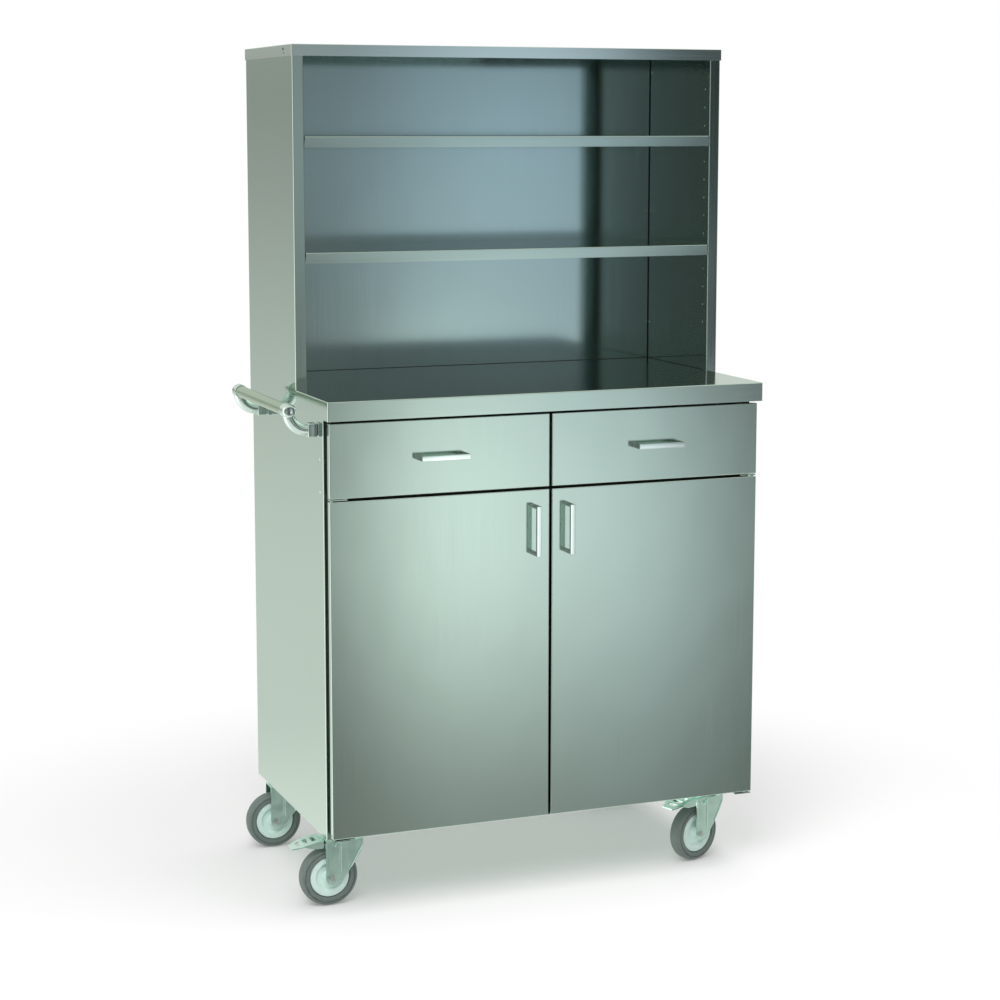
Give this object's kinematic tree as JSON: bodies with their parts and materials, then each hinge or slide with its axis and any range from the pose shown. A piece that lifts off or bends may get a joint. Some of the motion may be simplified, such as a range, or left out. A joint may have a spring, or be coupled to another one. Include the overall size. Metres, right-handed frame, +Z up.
{
  "type": "waiter service station",
  "caption": "Mobile stainless service station with drawers over doors, worktop, open shelf hutch, side push handle and swivel casters.",
  "frame": {"origin": "floor level, in the middle of the outline's width and depth", "axes": "X to the right seen from the front, Y from front to back, Z up"},
  "size_m": [1.0564, 0.598, 1.794],
  "materials": {
    "stainless_sheet": "fine brushed stainless steel sheet",
    "polished_steel": "polished bow handles",
    "dark_frame": "matt black recessed frame",
    "cast_aluminium": "satin cast brackets",
    "grip_tube": "satin round tube",
    "plated_fittings": "zinc-plated small fittings and drawer runners",
    "zinc_plated_steel": "bright zinc-plated caster pressings",
    "wheel_plastic": "light grey wheel centre",
    "tyre_rubber": "dark grey non-marking rubber"
  },
  "bodies": {
    "carcass": {"side_panel_left": "stainless_sheet", "side_panel_right": "stainless_sheet", "back_panel": "stainless_sheet", "bottom_plate": "stainless_sheet", "front_frame": "dark_frame", "drawer_divider": "stainless_sheet", "runner_rails": "plated_fittings", "runner_fixed_members": "plated_fittings", "inner_shelf": "stainless_sheet", "shelf_pegs": "plated_fittings", "worktop": "stainless_sheet", "worktop_stiffeners": "stainless_sheet", "hutch_side_left": "stainless_sheet", "hutch_side_right": "stainless_sheet", "hutch_back": "stainless_sheet", "hutch_cap": "stainless_sheet", "hutch_shelf_upper": "stainless_sheet", "hutch_shelf_lower": "stainless_sheet", "push_handle_tube": "grip_tube", "push_handle_brackets": "cast_aluminium", "small_fixings": "plated_fittings", "caster_plates": "zinc_plated_steel", "caster_bolts": "zinc_plated_steel", "swivel_bearings": "zinc_plated_steel", "door_hinges": "plated_fittings", "door_catches": "dark_frame"},
    "door_left": {"door_left_skin": "stainless_sheet", "door_left_liner": "stainless_sheet", "door_left_handle": "polished_steel"},
    "drawer_left": {"drawer_left_skin": "stainless_sheet", "drawer_left_box": "stainless_sheet", "drawer_left_handle": "polished_steel", "runner_left_inner": "plated_fittings"},
    "runner_left": {"runner_left_middle": "plated_fittings"},
    "door_right": {"door_right_skin": "stainless_sheet", "door_right_liner": "stainless_sheet", "door_right_handle": "polished_steel"},
    "drawer_right": {"drawer_right_skin": "stainless_sheet", "drawer_right_box": "stainless_sheet", "drawer_right_handle": "polished_steel", "runner_right_inner": "plated_fittings"},
    "runner_right": {"runner_right_middle": "plated_fittings"},
    "caster_front_left": {"fork_front_left": "zinc_plated_steel", "axle_bolt_front_left": "zinc_plated_steel"},
    "wheel_front_left": {"wheel_disc_front_left": "wheel_plastic", "tyre_front_left": "tyre_rubber"},
    "brake_front_left": {"brake_pedal_front_left": "zinc_plated_steel"},
    "caster_front_right": {"fork_front_right": "zinc_plated_steel", "axle_bolt_front_right": "zinc_plated_steel"},
    "wheel_front_right": {"wheel_disc_front_right": "wheel_plastic", "tyre_front_right": "tyre_rubber"},
    "brake_front_right": {"brake_pedal_front_right": "zinc_plated_steel"},
    "caster_rear_left": {"fork_rear_left": "zinc_plated_steel", "axle_bolt_rear_left": "zinc_plated_steel"},
    "wheel_rear_left": {"wheel_disc_rear_left": "wheel_plastic", "tyre_rear_left": "tyre_rubber"},
    "caster_rear_right": {"fork_rear_right": "zinc_plated_steel", "axle_bolt_rear_right": "zinc_plated_steel"},
    "wheel_rear_right": {"wheel_disc_rear_right": "wheel_plastic", "tyre_rear_right": "tyre_rubber"}
  },
  "joints": [
    {"name": "door_left_hinge", "type": "hinge", "parent": "carcass", "child": "door_left", "pos_m": [-0.44075, -0.262, 0.17], "axis": [0, 0, -1], "range_deg": [0, 100]},
    {"name": "drawer_left_slide", "type": "slide", "parent": "carcass", "child": "drawer_left", "axis": [0, -1, 0], "range_m": [0, 0.4]},
    {"name": "runner_left_slide", "type": "slide", "parent": "carcass", "child": "runner_left", "axis": [0, -1, 0], "range_m": [0, 0.2]},
    {"name": "door_right_hinge", "type": "hinge", "parent": "carcass", "child": "door_right", "pos_m": [0.51325, -0.262, 0.17], "axis": [0, 0, 1], "range_deg": [0, 100]},
    {"name": "drawer_right_slide", "type": "slide", "parent": "carcass", "child": "drawer_right", "axis": [0, -1, 0], "range_m": [0, 0.4]},
    {"name": "runner_right_slide", "type": "slide", "parent": "carcass", "child": "runner_right", "axis": [0, -1, 0], "range_m": [0, 0.2]},
    {"name": "swivel_front_left", "type": "hinge", "parent": "carcass", "child": "caster_front_left", "pos_m": [-0.38775, -0.169, 0.145], "axis": [0, 0, 1], "continuous": true},
    {"name": "wheel_spin_front_left", "type": "hinge", "parent": "caster_front_left", "child": "wheel_front_left", "pos_m": [-0.42775, -0.169, 0.0625], "axis": [0, 1, 0], "continuous": true},
    {"name": "brake_front_left_pivot", "type": "hinge", "parent": "caster_front_left", "child": "brake_front_left", "pos_m": [-0.41375, -0.169, 0.1325], "axis": [0, -1, 0], "range_deg": [0, 12]},
    {"name": "swivel_front_right", "type": "hinge", "parent": "carcass", "child": "caster_front_right", "pos_m": [0.46025, -0.169, 0.145], "axis": [0, 0, 1], "continuous": true},
    {"name": "wheel_spin_front_right", "type": "hinge", "parent": "caster_front_right", "child": "wheel_front_right", "pos_m": [0.42234, -0.18176, 0.0625], "axis": [-0.319, 0.9478, 0], "continuous": true},
    {"name": "brake_front_right_pivot", "type": "hinge", "parent": "caster_front_right", "child": "brake_front_right", "pos_m": [0.43561, -0.17729, 0.1325], "axis": [0.319, -0.9478, 0], "range_deg": [0, 12]},
    {"name": "swivel_rear_left", "type": "hinge", "parent": "carcass", "child": "caster_rear_left", "pos_m": [-0.38775, 0.249, 0.145], "axis": [0, 0, 1], "continuous": true},
    {"name": "wheel_spin_rear_left", "type": "hinge", "parent": "caster_rear_left", "child": "wheel_rear_left", "pos_m": [-0.42775, 0.249, 0.0625], "axis": [0, 1, 0], "continuous": true},
    {"name": "swivel_rear_right", "type": "hinge", "parent": "carcass", "child": "caster_rear_right", "pos_m": [0.46025, 0.249, 0.145], "axis": [0, 0, 1], "continuous": true},
    {"name": "wheel_spin_rear_right", "type": "hinge", "parent": "caster_rear_right", "child": "wheel_rear_right", "pos_m": [0.42025, 0.249, 0.0625], "axis": [0, 1, 0], "continuous": true}
  ],
  "couplings": [
    {"joint": "runner_left_slide", "follows": "drawer_left_slide", "ratio": 0.5},
    {"joint": "runner_right_slide", "follows": "drawer_right_slide", "ratio": 0.5}
  ]
}
